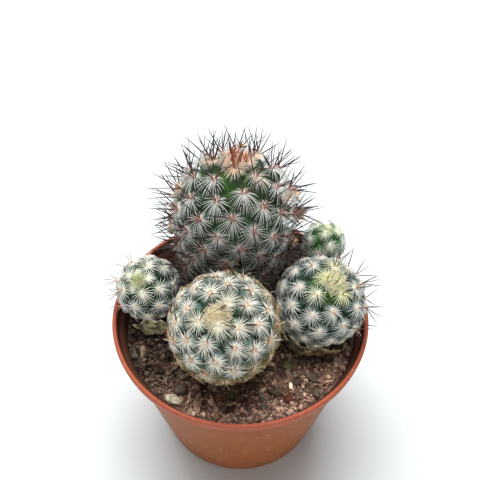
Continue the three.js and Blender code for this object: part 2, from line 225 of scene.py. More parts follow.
def turn_round(profile, sides):
    """Points and faces of a profile of radius and height, from the axis back to the axis, turned about Z."""
    rings = np.array(profile[1:-1])
    angles = np.linspace(0, 2 * pi, sides, endpoint=False)
    across = rings[:, :1, None] * np.stack([np.cos(angles), np.sin(angles)], axis=1)
    up = np.broadcast_to(rings[:, 1:, None], (len(rings), sides, 1))
    points = np.concatenate([across, up], axis=2).reshape(-1, 3)
    points = np.concatenate([points, [(0, 0, profile[0][1]), (0, 0, profile[-1][1])]])
    ring = np.arange(sides)
    foot = cap(len(points) - 2, ring)[:, [0, 2, 1]]
    top = cap(len(points) - 1, ring + (len(rings) - 1) * sides)
    return points, [wrap(len(rings), sides), foot, top]


pot_profile = [
    (0, 0),
    (drain_circle_radius + drain_hole_radius + 2, 0),
    *arc((base_radius - 0.8, 0.8), 0.8, -90, -8, 6),
    *[(inner_radius(h) + wall, h) for h in (12, 26, 40, 54, 64)],
    *arc((shoulder_radius + 1.2, shoulder_height - 0.6), 1.45, 175, 110, 5),
    *arc((rim_radius - 1.5, shoulder_height + 2), 1.1, -70, -8, 5),
    *arc((rim_radius - 0.85, pot_height - 0.85), 0.85, -8, 188, 14),
    (rim_radius - 2.1, shoulder_height + 2.6),
    *arc((rim_radius - 3.6, shoulder_height + 1.7), 1.3, -8, -60, 4),
    *[(inner_radius(h), h) for h in (shoulder_height - 1, 50, 30, 12)],
    (inner_radius(floor_thickness + 0.8), floor_thickness + 0.8),
    (inner_radius(floor_thickness) - 1, floor_thickness),
    (0, floor_thickness),
]
plastic = Finish("terracotta_plastic", (144, 80, 36), Specular_IOR_Level=0.15)
cloud = plastic.grain(18, 4)
scuffs = plastic.step(plastic.grain(2.6, 5, (1, 1, 0.25)), 0.5, 0.72)
specks = plastic.step(plastic.grain(1.5, 1), 0.72, 0.75)
# The inside wall is painted darker from just under the rim down towards the soil, and rougher there.
darker_inside = plastic.mark("inside") * plastic.step(plastic.mark("height") + 4 * cloud, 74.2, 71)
plastic.paint((155, 88, 44), cloud)
plastic.paint((172, 88, 62), plastic.step(plastic.mark("height"), 67, 70))
plastic.paint((196, 136, 104), 0.24 * scuffs)
plastic.paint((225, 205, 190), 0.5 * specks)
plastic.paint((84, 54, 43), 0.95 * darker_inside)
plastic.feed(plastic.shader, "Roughness", 0.36 + 0.14 * cloud + 0.2 * scuffs + 0.3 * darker_inside)
plastic.relief(plastic.grain(0.8, 3) + 0.6 * plastic.grain(9, 2), 0.03)

points, faces = turn_round(pot_profile, 160)
height = points[:, 2]
half_way = np.where(height > shoulder_height, rim_radius - 1.6, inner_radius(height) + wall / 2)
inside = np.hypot(points[:, 0], points[:, 1]) < half_way
pot = make_piece("pot_shell", points, faces, plastic, height=height, inside=inside)
points, faces = turn_round([(0, -2), (drain_hole_radius, -2), (drain_hole_radius, 4), (0, 4)], 28)
angle = (np.arange(drain_holes) + 0.5) * 2 * pi / drain_holes
places = drain_circle_radius * np.stack([np.cos(angle), np.sin(angle), 0 * angle], axis=1)
faces = [repeated(some, drain_holes, len(points)) for some in faces]
drill = make_piece("drain_hole_drill", (places[:, None] + points).reshape(-1, 3), faces, plastic)
cut = pot.modifiers.new("drain_holes", "BOOLEAN")
cut.operation = "DIFFERENCE"
cut.solver = "MANIFOLD"
cut.object = drill
drilled = bpy.data.meshes.new_from_object(pot.evaluated_get(bpy.context.evaluated_depsgraph_get()))
pot.modifiers.clear()
pot.data = drilled
bpy.data.objects.remove(drill)
pot.data.shade_smooth()
pot.data.set_sharp_from_angle(angle=radians(50))
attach(pot, "root")
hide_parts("pot")

# Potting mix
# Dark peat with bark crumbs, grit and fine roots. It fills the pot to a finger's width under the lip
# and lies a little higher in the middle.
soil_edge = 63.5
soil_mound = 2.5
seat_gap = 0.3
soil_step = 0.75


def unit(vectors):
    """Vectors of length 1."""
    return vectors / np.linalg.norm(vectors, axis=-1, keepdims=True)


def soil_height(x, y):
    """The height of the potting mix at a place, before its crumbs."""
    return soil_edge + soil_mound * (1 - (x * x + y * y) / inner_radius(soil_edge) ** 2)


def ripple(points, size, seed, waves=14):
    """Smooth unevenness, mostly between -1 and 1, with bumps about a size apart in millimetres."""
    chance = np.random.default_rng(seed)
    ways = unit(chance.normal(size=(waves, 3))) * 2 * pi / size * chance.uniform(0.6, 1.5, (waves, 1))
    return np.sin(points @ ways.T + chance.uniform(0, 2 * pi, waves)).sum(axis=1) / sqrt(waves)


def dryness(points):
    """How much painted light the potting mix gets at places on it: most at the front and on the right."""
    return np.clip(0.34 + 0.009 * points[:, 0] - 0.028 * (points[:, 1] + 22), 0, 1)


def paint_light_and_shade(finish):
    """Pales the colour so far with painted light where the mark says so, and deepens it a little elsewhere."""
    dry = finish.mark("dry") + 0.4 * (finish.grain(7, 3) - 0.5)
    paler = 0.8 + 4 * finish.step(dry, 0, 1)
    finish.colour = finish.node("VectorMath", {"operation": "SCALE"}, {0: finish.colour, "Scale": paler})


soil_rim = inner_radius(soil_edge) - seat_gap
soil_low = floor_thickness + seat_gap
soil_profile = [
    (0, soil_low),
    (inner_radius(soil_low) - seat_gap, soil_low),
    *[(radius, soil_edge) for radius in np.arange(soil_rim, soil_step, -soil_step)],
    (0, soil_edge),
]
points, faces = turn_round(soil_profile, 300)
on_top = points[:, 2] > soil_edge - 1
top = points[on_top]
rough = 0.5 * ripple(top, 11, 1) + 0.55 * ripple(top, 4.2, 2) + 0.4 * ripple(top, 1.9, 3)
top_height = soil_height(top[:, 0], top[:, 1]) - 0.5 + rough
points[on_top, 2] = np.minimum(top_height, soil_edge + soil_mound + 0.4)
earth = Finish("potting_mix", (52, 40, 35), Roughness=0.95, Specular_IOR_Level=0.15)
earth.paint((91, 69, 59), earth.step(earth.grain(3), 0.4, 0.65))
earth.paint((140, 117, 101), earth.step(earth.grain(1.1), 0.6, 0.74))
# Painted light and shade: the mix is painted paler at the front and right and darker at the left and back.
paint_light_and_shade(earth)
earth.relief(earth.grain(0.7, 5), 0.5)
soil = make_piece("soil_body", points, faces, earth, dry=dryness(points))
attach(soil, "root")
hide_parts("soil")

# Each stone's place on the mix, half its length, width and height, its turn in degrees and its colour
stones = [
    ("stone_cream", (-25.3, -37.4), (4.1, 2.2, 1.7), -35, (240, 228, 196), "stone_pale"),
    ("pebble_brown", (-22.6, -33.6), (2.4, 2.1, 1.9), 0, (122, 106, 90), "stone_brown"),
    ("stone_tan", (-39.4, -15.7), (1.5, 2.8, 1.4), 5, (172, 146, 114), "stone_brown"),
    ("stone_grey_left", (-42.3, -17.9), (1.4, 1.9, 1.3), 20, (96, 90, 82), "stone_grey"),
    ("pebble_green_front", (-3.6, -36.1), (1.7, 1.6, 1.5), 0, (126, 128, 86), "stone_green"),
    ("pebble_green_middle", (6.4, -32.9), (1.4, 1.3, 1.3), 40, (138, 142, 96), "stone_green"),
    ("pebble_olive", (18.4, -23.9), (2.4, 2.3, 2), 15, (112, 112, 74), "stone_green"),
    ("stone_cream_small", (21.4, -26.9), (1.2, 1.7, 1.2), 25, (196, 180, 146), "stone_pale"),
    ("pebble_purple", (24.6, -21.6), (1.9, 1.9, 1.5), 0, (112, 94, 88), "stone_grey"),
    ("pebble_blue_grey", (21.5, -30.3), (1.6, 1.5, 1.3), 30, (112, 98, 86), "stone_grey"),
    ("stone_grey_tan", (27.9, -28), (2.6, 2.1, 1.7), -20, (136, 118, 100), "stone_brown"),
    ("stone_brown_flat", (13.3, -34), (3, 2.1, 1.4), -8, (116, 98, 76), "stone_brown"),
    ("stone_pale", (8.2, -36.6), (1.2, 1.7, 1.2), 12, (168, 160, 146), "stone_pale"),
    ("pebble_grey_front", (8.5, -40.6), (1.4, 1.3, 1.2), 0, (118, 114, 106), "stone_grey"),
    ("stone_grey_green", (28.7, -34.6), (2, 2, 1.5), 50, (124, 108, 88), "stone_green"),
]


def ball(detail):
    """Points and triangles of a ball of radius 1."""
    bpy.ops.mesh.primitive_ico_sphere_add(subdivisions=detail, radius=1)
    ball_object = bpy.context.object
    mesh = ball_object.data
    points = np.array([vertex.co[:] for vertex in mesh.vertices])
    faces = np.array([polygon.vertices[:] for polygon in mesh.polygons])
    bpy.data.objects.remove(ball_object)
    bpy.data.meshes.remove(mesh)
    return points, faces


def any_turns(count, chance):
    """Random turns, as rotation matrices."""
    w, x, y, z = unit(chance.normal(size=(count, 4))).T
    rows = [
        (1 - 2 * (y * y + z * z), 2 * (x * y - w * z), 2 * (x * z + w * y)),
        (2 * (x * y + w * z), 1 - 2 * (x * x + z * z), 2 * (y * z - w * x)),
        (2 * (x * z - w * y), 2 * (y * z + w * x), 1 - 2 * (x * x + y * y)),
    ]
    return np.array(rows).transpose(2, 0, 1)


def strew(places, shapes, turns, pattern, faces):
    """Copies a shape to many places, each with its own size along three axes, turn and unevenness."""
    points = np.einsum("nij,npj->npi", turns, pattern * shapes[:, None]) + places[:, None]
    return points.reshape(-1, 3), repeated(faces, len(places), pattern.shape[1])


def open_soil(count, reach, chance):
    """Random places on the soil, clear of its stones."""
    places = []
    while len(places) < count:
        x, y = chance.uniform(-reach, reach, 2)
        on_stone = any(hypot(x - at[0], y - at[1]) < min(half[:2]) for _, at, half, *_ in stones)
        if hypot(x, y) <= reach and not on_stone:
            places.append((x, y, soil_height(x, y)))
    return np.array(places)


crumb_count = 3000
chip_count = 620
grit_count = 900
chips = slice(crumb_count, -grit_count)
grit = slice(-grit_count, None)
chance = np.random.default_rng(11)
sizes = np.concatenate([
    0.42 + 1.25 * chance.random(crumb_count) ** 2.4,
    chance.uniform(0.7, 2.3, chip_count),
    chance.uniform(0.2, 0.45, grit_count),
])
count = len(sizes)
places = open_soil(count, soil_rim - 1, chance)
front_edge = -np.sqrt(np.maximum((soil_rim - 1.5) ** 2 - places[grit, 0] ** 2, 0))
places[grit, 1] = front_edge + chance.exponential(3.5, grit_count)
places[grit, 2] = soil_height(places[grit, 0], places[grit, 1])
places[:, 2] += chance.uniform(-0.4, 0.6, count)
shapes = chance.uniform((0.8, 0.6, 0.4), (1.3, 1, 0.8), (count, 3))
shapes[chips] = chance.uniform((1.1, 0.4, 0.16), (1.7, 0.8, 0.34), (count, 3))[chips]
shapes *= sizes[:, None]
points, faces = ball(1)
lumps = points * chance.uniform(0.7, 1.2, (count, len(points), 1))
points, faces = strew(places, shapes, any_turns(count, chance), lumps, faces)
kinds = chance.random(count)
kinds[chips] *= 0.8
kinds[grit] = 0.4 + 0.5 * kinds[grit]
kinds = np.repeat(kinds, lumps.shape[1])
peat = Finish("peat_crumbs_and_grit", (64, 50, 44), Roughness=0.9, Specular_IOR_Level=0.2)
kind = peat.mark("kind")
peat.paint((122, 101, 88), peat.step(kind, 0.15, 0.65))
peat.paint((150, 127, 109), peat.step(kind, 0.7, 0.8))
peat.paint((152, 132, 113), peat.step(kind, 0.86, 0.9))
peat.paint((190, 178, 158), peat.step(kind, 0.975, 0.985))
peat.paint((50, 36, 32), 0.5 * peat.grain(0.8, 3))
# Painted light and shade: the crumbs are painted paler at the front and right and darker at the left and back.
paint_light_and_shade(peat)
peat.relief(peat.grain(0.35, 3), 0.15)
crumbs = make_piece("soil_crumbs", points, [faces], peat, smooth=False, kind=kinds, dry=dryness(points))
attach(crumbs, "root")


def draw_out(lines, radii, sides=3):
    """Points and faces of thin closed tubes round many lines of points, each pointed at its end."""
    count, steps, _ = lines.shape
    ways = unit(np.gradient(lines, axis=1))
    aside = unit(np.cross(ways, np.where(np.abs(ways[..., 2:]) > 0.9, (1.0, 0, 0), (0, 0, 1.0))))
    across = np.cross(ways, aside)
    angles = np.linspace(0, 2 * pi, sides, endpoint=False)
    spread = aside[:, :-1, None] * np.cos(angles)[:, None] + across[:, :-1, None] * np.sin(angles)[:, None]
    rings = lines[:, :-1, None] + spread * radii[:, :-1, None, None]
    points = np.concatenate([rings.reshape(count, -1, 3), lines[:, -1:]], axis=1)
    faces = []
    for row in range(steps - 2):
        for side in range(sides):
            a = row * sides + side
            b = row * sides + (side + 1) % sides
            faces += [(a, b, b + sides), (a, b + sides, a + sides)]
    last = (steps - 2) * sides
    faces += [(last + side, last + (side + 1) % sides, last + sides) for side in range(sides)]
    faces += [(0, side + 1, side) for side in range(1, sides - 1)]
    return points.reshape(-1, 3), repeated(faces, count, last + sides + 1)


def spread_along(values, steps, sides=3):
    """Values of each line, or of each of its points, for all the points of its tube."""
    values = values.reshape(len(values), -1) * np.ones(steps)
    return np.concatenate([np.repeat(values[:, :-1], sides, axis=1), values[:, -1:]], axis=1).ravel()


root_count = 480
right_roots = 90
root_steps = 8
chance = np.random.default_rng(12)
places = open_soil(root_count, soil_rim - 3, chance)
places[:right_roots, :2] = (32, -25) + chance.normal(0, 1, (right_roots, 2)) * (5, 8)
heading = chance.uniform(0, 2 * pi, root_count)[:, None]
heading = heading + chance.normal(0, 0.28, (root_count, root_steps)).cumsum(axis=1)
lengths = chance.uniform(1.5, 7, root_count) ** 1.15
lengths[:right_roots] += 4
ways = np.stack([np.cos(heading), np.sin(heading), 0 * heading], axis=2)
lines = places[:, None] + (ways * lengths[:, None, None] / root_steps).cumsum(axis=1)
reach = np.hypot(lines[..., 0], lines[..., 1])
lines[..., :2] *= (np.minimum(reach, soil_rim - 1.2) / reach)[..., None]
waves = ripple(lines.reshape(-1, 3), 6, 13).reshape(root_count, root_steps)
lines[..., 2] = soil_height(lines[..., 0], lines[..., 1]) + 0.25 + 0.45 * waves
radii = chance.uniform(0.08, 0.22, (root_count, 1)) * np.linspace(1, 0.5, root_steps)
points, faces = draw_out(lines, radii)
kinds = chance.random(root_count)
kinds[:right_roots] = 0.4 + 0.6 * kinds[:right_roots]
fibre = Finish("roots_and_fibres", (104, 70, 54), Roughness=0.8, Specular_IOR_Level=0.2)
fibre.paint((206, 160, 126), fibre.step(fibre.mark("kind"), 0.2, 0.9))
fibre.paint((206, 182, 152), fibre.step(fibre.mark("kind"), 0.86, 0.95))
fibre.paint((66, 46, 38), 0.5 * fibre.grain(1, 2))
roots = make_piece("soil_roots", points, [faces], fibre, kind=spread_along(kinds, root_steps))
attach(roots, "root")

# Stones
# Small weathered stones and pebbles that were in the mix and lie on it, each sunk a third of its height:
# cream and tan limestone, brown and grey pebbles, and a few mossy green ones.
stone_lift = 0.25
worn_faces = 14


def turn_flat(points, degrees):
    """Points turned about Z."""
    angle = radians(degrees)
    return points @ np.array([(cos(angle), sin(angle), 0), (-sin(angle), cos(angle), 0), (0, 0, 1)])


ball_points, ball_faces = ball(4)
for number, (name, at, half, turn, colour, slot) in enumerate(stones):
    uneven = 1 + 0.05 * ripple(ball_points, 1.6, 40 + number) + 0.02 * ripple(ball_points, 0.5, 60 + number)
    shape = np.sign(ball_points) * np.abs(ball_points) ** 0.88 * uneven[:, None]
    chance = np.random.default_rng(20 + number)
    flat_reach = 0.92 if name.startswith("pebble") else 0.78
    for way in unit(chance.normal(size=(worn_faces, 3))):
        shape -= np.clip(shape @ way - flat_reach * chance.uniform(0.92, 1.12), 0, None)[:, None] * way * 0.85
    middle = (*at, soil_height(*at) + stone_lift * half[2])
    darker = [level * 0.68 for level in colour]
    paler = [min(255, level * 1.14) for level in colour]
    weathered = Finish(name + "_finish", darker, Roughness=0.72, Specular_IOR_Level=0.3)
    patches = weathered.step(weathered.grain(1.6, 4), 0.35, 0.68)
    veins = weathered.step(weathered.grain(0.5, 2), 0.6, 0.72)
    dust = weathered.step(weathered.grain(2.4, 5), 0.45, 0.7)
    weathered.paint(colour, patches)
    weathered.paint(paler, 0.7 * veins)
    weathered.paint((104, 80, 64), (0.35 if slot == "stone_pale" else 0.75) * dust)
    weathered.relief(weathered.grain(0.6, 4), 0.2)
    stone = make_piece(name + "_weathered", turn_flat(shape * half, turn) + middle, [ball_faces], weathered)
    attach(stone, "root")
    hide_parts(name)

# Bark and twig
# Two splinters of bark and a pale bit of twig from the mix, half sunk in it. Their fibres run lengthwise.
# Each has its place, its length, width and height, its height over the mix, its turn and its colour.
scraps = [
    ("bark_red", (18, -35.9), (3, 5.6, 1.4), 0.3, 14, (140, 84, 58), "bark"),
    ("bark_dark", (-1.6, -40.1), (12.6, 1.8, 1.3), 0.6, 33, (112, 82, 74), "bark"),
    ("twig_pale", (-15.2, -37), (1.1, 8, 1), 0.3, 4, (158, 136, 116), "twig"),
]
for number, (name, at, size, lift, turn, colour, slot) in enumerate(scraps):
    half = np.array(size) / 2
    lengthwise = np.arange(3) == np.argmax(half)
    grain_way = np.where(lengthwise, 0.15, 1)
    shape = np.sign(ball_points) * np.abs(ball_points) ** 0.6
    ridges = 1 + 0.16 * ripple(shape * half * grain_way, 0.8, 80 + number)
    ends = 1 - 0.45 * np.abs(shape[:, lengthwise][:, 0]) ** 3
    torn = 1 + 0.2 * ripple(shape * half * (1 - grain_way), 0.9, 90 + number)
    shape = shape * half * np.where(lengthwise, torn[:, None], (ridges * ends)[:, None])
    middle = (*at, soil_height(*at) + lift)
    darker = [level * 0.45 for level in colour]
    splinter = Finish(name + "_finish", darker, Roughness=0.85, Specular_IOR_Level=0.2)
    splinter.paint(colour, splinter.grain(1.2, 4, tuple(grain_way)))
    splinter.relief(splinter.grain(0.5, 3, tuple(grain_way)), 0.3)
    scrap = make_piece(name + "_splinter", turn_flat(shape, turn) + middle, [ball_faces], splinter)
    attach(scrap, "root")
    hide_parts(name)

# Heads
# Five heads of one plant. Each is a domed barrel of green skin that grew conical tubercles, every one
# a golden angle round from the last, with young small ones in the crown and corky old ones near the soil.
golden_angle = radians(137.50776)
young_share = 0.7
lowest_tubercle = 3.2
skin_step = 0.62
tubercle_lean = 0.42
tubercle_fullness = 1.9
valley_depth = 1.25
crown_dip = 1.6
skin_clearance = 0.2
neck_rows = 12
neck_depth = 4


class Head:
    """How one head grew. Its middle lies where the domed crown meets the barrel."""

    def __init__(self, name, middle, lean, outline, growth, tubercle, neck):
        self.name = name
        self.middle = np.array(middle)
        self.tubercle = tubercle
        self.neck = neck
        radius, rise, barrel, taper = outline
        self.radius = radius
        self.top = rise * radius
        self.barrel = barrel
        self.taper = taper
        self.axis = np.array([*lean, sqrt(1 - lean[0] ** 2 - lean[1] ** 2)])
        x, y, z = self.axis
        self.upright = np.array([
            (1 - x * x / (1 + z), -x * y / (1 + z), x),
            (-x * y / (1 + z), 1 - y * y / (1 + z), y),
            (-x, -y, z),
        ])
        dome = np.linspace(0, pi / 2, 50)
        down = np.linspace(0, 1, 50)[1:]
        self.r = np.concatenate([radius * np.sin(dome), radius * (1 - taper * down ** 2)])
        self.z = np.concatenate([self.top * np.cos(dome), -barrel * down])
        step = np.hypot(np.diff(self.r), np.diff(self.z))
        self.run = np.concatenate([[0], step.cumsum()])
        self.area = np.concatenate([[0], (pi * (self.r[1:] + self.r[:-1]) * step).cumsum()])
        self.grow_areoles(*growth)

    def surface(self, run, angle):
        """Points of the outline at a run from the apex and an angle, and the ways out and up there."""
        r = np.interp(run, self.run, self.r)
        z = np.interp(run, self.run, self.z)
        slope_r = np.interp(run, self.run, np.gradient(self.r, self.run))
        slope_z = np.interp(run, self.run, np.gradient(self.z, self.run))
        size = np.hypot(slope_r, slope_z)
        slope_r, slope_z = slope_r / size, slope_z / size
        turn_x, turn_y = np.cos(angle), np.sin(angle)
        point = np.stack([r * turn_x, r * turn_y, z], axis=-1) @ self.upright.T + self.middle
        out = np.stack([-slope_z * turn_x, -slope_z * turn_y, slope_r], axis=-1) @ self.upright.T
        up = np.stack([-slope_r * turn_x, -slope_r * turn_y, -slope_z], axis=-1) @ self.upright.T
        return point, out, up

    def seen_from(self, points):
        """Points as the head has them, from its middle and with its axis upright."""
        return (points - self.middle) @ self.upright

    def grow_areoles(self, turn, cell, start, youngest):
        """The areoles in the order they grew. Each takes a cell of the skin, smaller ones in the crown."""
        self.spacing = sqrt(cell)
        ages = np.arange(youngest, 400)
        cells = np.where(ages < 0, start * young_share ** -ages.astype(float), start + ages)
        kept = cells * cell < self.area[-1]
        ages, cells = ages[kept], cells[kept]
        run = np.interp(cells * cell, self.area, self.run)
        tip, out, up = self.surface(run, turn + golden_angle * ages)
        kept = tip[:, 2] > soil_height(tip[:, 0], tip[:, 1]) + lowest_tubercle
        self.youth = np.clip(1 - (ages + 3) / 9, 0, 1)[kept]
        self.tip, self.out, self.up = tip[kept], out[kept], up[kept]
        self.tip_run = run[kept]
        self.size = np.where(ages < 0, np.sqrt(cells * np.log(1 / young_share)), 1)[kept]
        self.low = np.clip(1 - (self.tip[:, 2] - soil_edge) / (self.middle[2] - soil_edge), 0, 1)

    def skin_height(self, point, run):
        """The skin's height over the outline at points of it, how far up a tubercle each is, and its size."""
        centres = self.tip - self.up * self.tubercle * tubercle_lean * self.size[:, None]
        gaps = np.linalg.norm(point[:, None] - centres[None], axis=2) / (0.55 + 0.45 * self.size)
        nearest = np.argpartition(gaps, (0, 1), axis=1)[:, :2]
        near = np.take_along_axis(gaps, nearest, axis=1)
        valley = (near[:, 1] - near[:, 0]) / (near[:, 1] + near[:, 0])
        ridge = 1 - (1 - valley) ** tubercle_fullness
        ridge *= 1 - np.clip(near[:, 0] / self.spacing - 0.75, 0, 1)
        size = self.size[nearest[:, 0]]
        crown = np.exp(-(run / (0.16 * self.radius)) ** 2)
        height = valley_depth * self.tubercle * (size * ridge - 0.4 * size - 0.6) - crown_dip * crown
        return height, ridge, size

    def above_skin(self, lines):
        """Lifts the points of spines that would lie in the head's own skin."""
        points = lines.reshape(-1, 3)
        local = self.seen_from(points)
        off = np.hypot(local[:, 0], local[:, 1])
        row = np.argmin((off[:, None] - self.r) ** 2 + (local[:, 2:] - self.z) ** 2, axis=1)
        near, out, up = self.surface(self.run[row], np.arctan2(local[:, 1], local[:, 0]))
        height = ((points - near) * out).sum(axis=1)
        floor = self.skin_height(near, self.run[row])[0] + skin_clearance
        return (points + out * np.maximum(floor - height, 0)[:, None]).reshape(lines.shape)


# Each head's middle and lean; its radius, its crown's rise as a share of that, its barrel's height and taper;
# its spiral's turn, a tubercle's area, the first full-sized one's place in the spiral and the youngest one's
# age; how far its tubercles stand out; and its neck's radius
heads = [
    Head("head_main", (-2.3, 24, 107), (0.05, 0.135), (23.8, 0.9, 40, 0.2), (4.53, 84.3, 1.08, -6), 3.9, 15),
    Head("head_front", (-6.1, -22, 90), (-0.114, -0.39), (20.5, 0.8, 20, 0.5), (4.83, 55.9, 0.56, -1), 3.1, 8),
    Head("head_right", (31.3, -6, 85), (0.18, -0.22), (17.5, 0.96, 20, 0.48), (2.9, 60.3, 0.3, -3), 3.1, 7),
    Head("head_left", (-37.5, 4.5, 80), (-0.18, -0.43), (12.9, 0.97, 18, 0.29), (4.98, 52.7, 1.4, -4), 2.7, 6),
    Head("head_back", (34.8, 20.6, 91), (0.05, -0.2), (8.3, 0.95, 24, 0.4), (3.97, 40, 0.2, -1), 2.2, 3.6),
]

# Each head's skin: its colours in the valleys, on the tubercles' sides, at their tips and where it is corky,
# the heights between which it turns corky, and the woolly crown's colour and reach and the freshness round it
skins = [
    [(48, 82, 24), (44, 74, 48), (96, 112, 98), (84, 74, 50), (88, 106), (236, 190, 140), 5, 0.5],
    [(36, 54, 42), (98, 130, 120), (150, 176, 166), (124, 110, 76), (77, 90), (240, 220, 160), 4.6, 0.15],
    [(28, 50, 22), (58, 86, 72), (122, 146, 132), (92, 84, 56), (72, 80), (224, 230, 160), 3, 0.8],
    [(18, 40, 14), (38, 76, 46), (100, 134, 106), (100, 92, 60), (68, 76), (206, 218, 130), 3, 0.6],
    [(44, 104, 22), (76, 134, 66), (136, 184, 124), (100, 112, 60), (72, 84), (196, 214, 120), 2.2, 0.8],
]


def skin_of(head):
    """Points, faces and marks of a head's skin, from the apex down over its tubercles and into the soil."""
    columns = int(2 * pi * head.radius / skin_step)
    runs = np.arange(skin_step / 2, head.run[-1], skin_step)
    angles = np.linspace(0, 2 * pi, columns, endpoint=False)
    run, angle = [grid.ravel() for grid in np.meshgrid(runs, angles, indexing="ij")]
    point, out, up = head.surface(run, angle)
    height, ridge, size = head.skin_height(point, run)
    point = point + out * height[:, None] + up * (head.tubercle * tubercle_lean * size * ridge)[:, None]
    point += out * (0.08 * ripple(point, 1.6, 21))[:, None]

    foot = head.middle - head.axis * head.barrel
    ring = np.stack([head.neck * np.cos(angles), head.neck * np.sin(angles), 0 * angles], axis=1)
    ring += (foot[0], foot[1], soil_height(foot[0], foot[1]) - neck_depth)
    bend = np.linspace(0, pi / 2, neck_rows + 1)[1:, None, None]
    inwards = np.sin(bend) * (1, 1, 0) + (1 - np.cos(bend)) * (0, 0, 1)
    neck = point[-columns:] * (1 - inwards) + ring * inwards
    points = np.concatenate([point, neck.reshape(-1, 3), [point[:columns].mean(axis=0)], [ring.mean(axis=0)]])
    rows = len(runs) + neck_rows
    first = np.arange(columns)
    quads = np.roll(wrap(rows, columns)[:, ::-1], 1, axis=1)
    apex = cap(rows * columns, first)
    end = cap(rows * columns + 1, first + (rows - 1) * columns)[:, [0, 2, 1]]
    rest = np.zeros(columns * neck_rows + 2)
    ridge = np.concatenate([ridge, rest])
    run = np.concatenate([run, rest + head.run[-1]])
    run[-2] = 0
    return points, [quads, apex, end], ridge, run


for head, (valley, side, tip, old, corky, crown_colour, crown_reach, fresh_share) in zip(heads, skins):
    # The valley colour is the skin's green deepened with painted shade, darkest between the tubercles.
    flesh = Finish(head.name + "_skin_finish", valley, Roughness=0.45, Specular_IOR_Level=0.35)
    ridge = flesh.mark("ridge")
    cloud = flesh.grain(5, 4)
    fresh = flesh.step(flesh.mark("run") + 6 * cloud, 0.9 * head.radius, 0.4 * head.radius)
    height = flesh.mark("height") + 14 * (cloud - 0.5)
    speckle = flesh.step(flesh.grain(0.5, 3), 0.5, 0.75)
    felted = flesh.mark("run") + 3 * (flesh.grain(1.5, 3) - 0.5)
    flesh.paint(side, flesh.step(ridge + 0.3 * cloud, 0.2, 0.55))
    flesh.paint((104, 152, 52), fresh_share * fresh * flesh.step(ridge, 0.75, 0.2))
    flesh.paint(tip, flesh.step(ridge, 0.8, 1))
    flesh.paint(old, flesh.step(height, *reversed(corky)))
    flesh.paint(tip, 0.3 * speckle)
    flesh.paint(crown_colour, flesh.step(felted, crown_reach, crown_reach * 0.7))
    flesh.relief(flesh.grain(0.45, 4) + 0.6 * flesh.grain(2, 3), 0.12)
    points, faces, ridges, runs = skin_of(head)
    marks = dict(ridge=ridges, run=runs, height=points[:, 2])
    skin = make_piece(head.name + "_skin", points, faces, flesh, **marks)
    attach(skin, "root")
    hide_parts(head.name)

# Radial spines
# From 22 to 34 thin white bristles round each areole. They lie back over the tubercle like the ribs of an
# umbrella, the lower ones longer, and are horny and a little glossy. In the crown they are young and tinted.
areole_lean = 0.32
felted_crown = 2.9
stray_share = 0.04
radial_steps = 6
radials = [
    dict(count=30, fan=0.5, aging=0, length=6.2, trail=0.6, thick=0.27, lift=14, flare=-6, curl=66, rise=50,
         brush=0.3, root=(222, 202, 194), colour=(252, 254, 248), old=(152, 136, 100), young=(252, 222, 190)),
    dict(count=34, fan=0.3, aging=1.9, length=5.8, trail=0.5, thick=0.35, lift=10, flare=-4, curl=88, rise=20,
         brush=0, root=(216, 190, 164), colour=(250, 248, 236), old=(182, 160, 110), young=(240, 236, 214)),
    dict(count=27, fan=0.45, aging=0.6, length=6.1, trail=0.56, thick=0.31, lift=12, flare=-4, curl=106,
         rise=60, brush=0.6, root=(226, 210, 190), colour=(250, 252, 248), old=(182, 178, 156),
         young=(250, 252, 200)),
    dict(count=22, fan=0.45, aging=0.3, length=5.9, trail=0.56, thick=0.37, lift=12, flare=-4, curl=108,
         rise=60, brush=0.5, root=(236, 226, 200), colour=(253, 254, 250), old=(184, 176, 150),
         young=(248, 250, 232)),
    dict(count=24, fan=0.3, aging=0, length=4.4, trail=0.36, thick=0.3, lift=18, flare=-6, curl=84, rise=36,
         brush=0.5, root=(244, 242, 228), colour=(253, 254, 250), old=(212, 210, 184), young=(244, 250, 220)),
]


class Areoles:
    """The areoles of a head that bear spines: the way each faces, a little up to the apex, and across it."""

    def __init__(self, head):
        kept = head.tip_run >= (felted_crown if head.name == "head_front" else 0)
        up = head.up[kept]
        self.tip = head.tip[kept]
        self.out = head.out[kept]
        self.size = head.size[kept]
        self.youth = head.youth[kept]
        self.low = head.low[kept]
        self.run = head.tip_run[kept]
        self.facing = unit(self.out + areole_lean * up)
        self.up = unit(up - areole_lean * self.out)
        self.aside = np.cross(self.up, self.facing)

    def across(self, owner, angle):
        """The way across some areoles at an angle from up."""
        return self.up[owner] * np.cos(angle)[:, None] + self.aside[owner] * np.sin(angle)[:, None]


def keep_clear(lines, own, lying=True):
    """Points of spines, moved out of the other heads, the mix and the pot, and off the skin if they lie."""
    points = lines
    if lying:
        points = own.above_skin(lines)
        for _ in range(2):
            points[:, 1:-1] = (points[:, :-2] + 2 * points[:, 1:-1] + points[:, 2:]) / 4
    for head in heads:
        if head is own:
            continue
        local = head.seen_from(points)
        down = np.clip(-local[..., 2] / head.barrel, 0, 1)
        reach = head.radius * (1 - head.taper * down ** 2) - 0.5
        off = np.hypot(local[..., 0], local[..., 1])
        inside = np.hypot(off / reach, np.clip(local[..., 2], 0, None) / head.top)
        grow = np.where((inside < 1) & (local[..., 2] > -head.barrel), 1 / np.maximum(inside, 0.3), 1)
        local[..., :2] *= grow[..., None]
        local[..., 2] *= np.where(local[..., 2] > 0, grow, 1)
        points = local @ head.upright.T + head.middle
    x, y, z = points[..., 0], points[..., 1], points[..., 2]
    off = np.hypot(x, y)
    limit = inner_radius(soil_edge) - 0.6
    squeeze = np.where((z < pot_height + 0.4) & (off > limit), limit / off, 1)
    z = np.where(off < rim_radius, np.maximum(z, soil_height(x, y) + 0.5), z)
    points = np.stack([x * squeeze, y * squeeze, z], axis=-1)
    points[:, 0] = lines[:, 0]
    return points


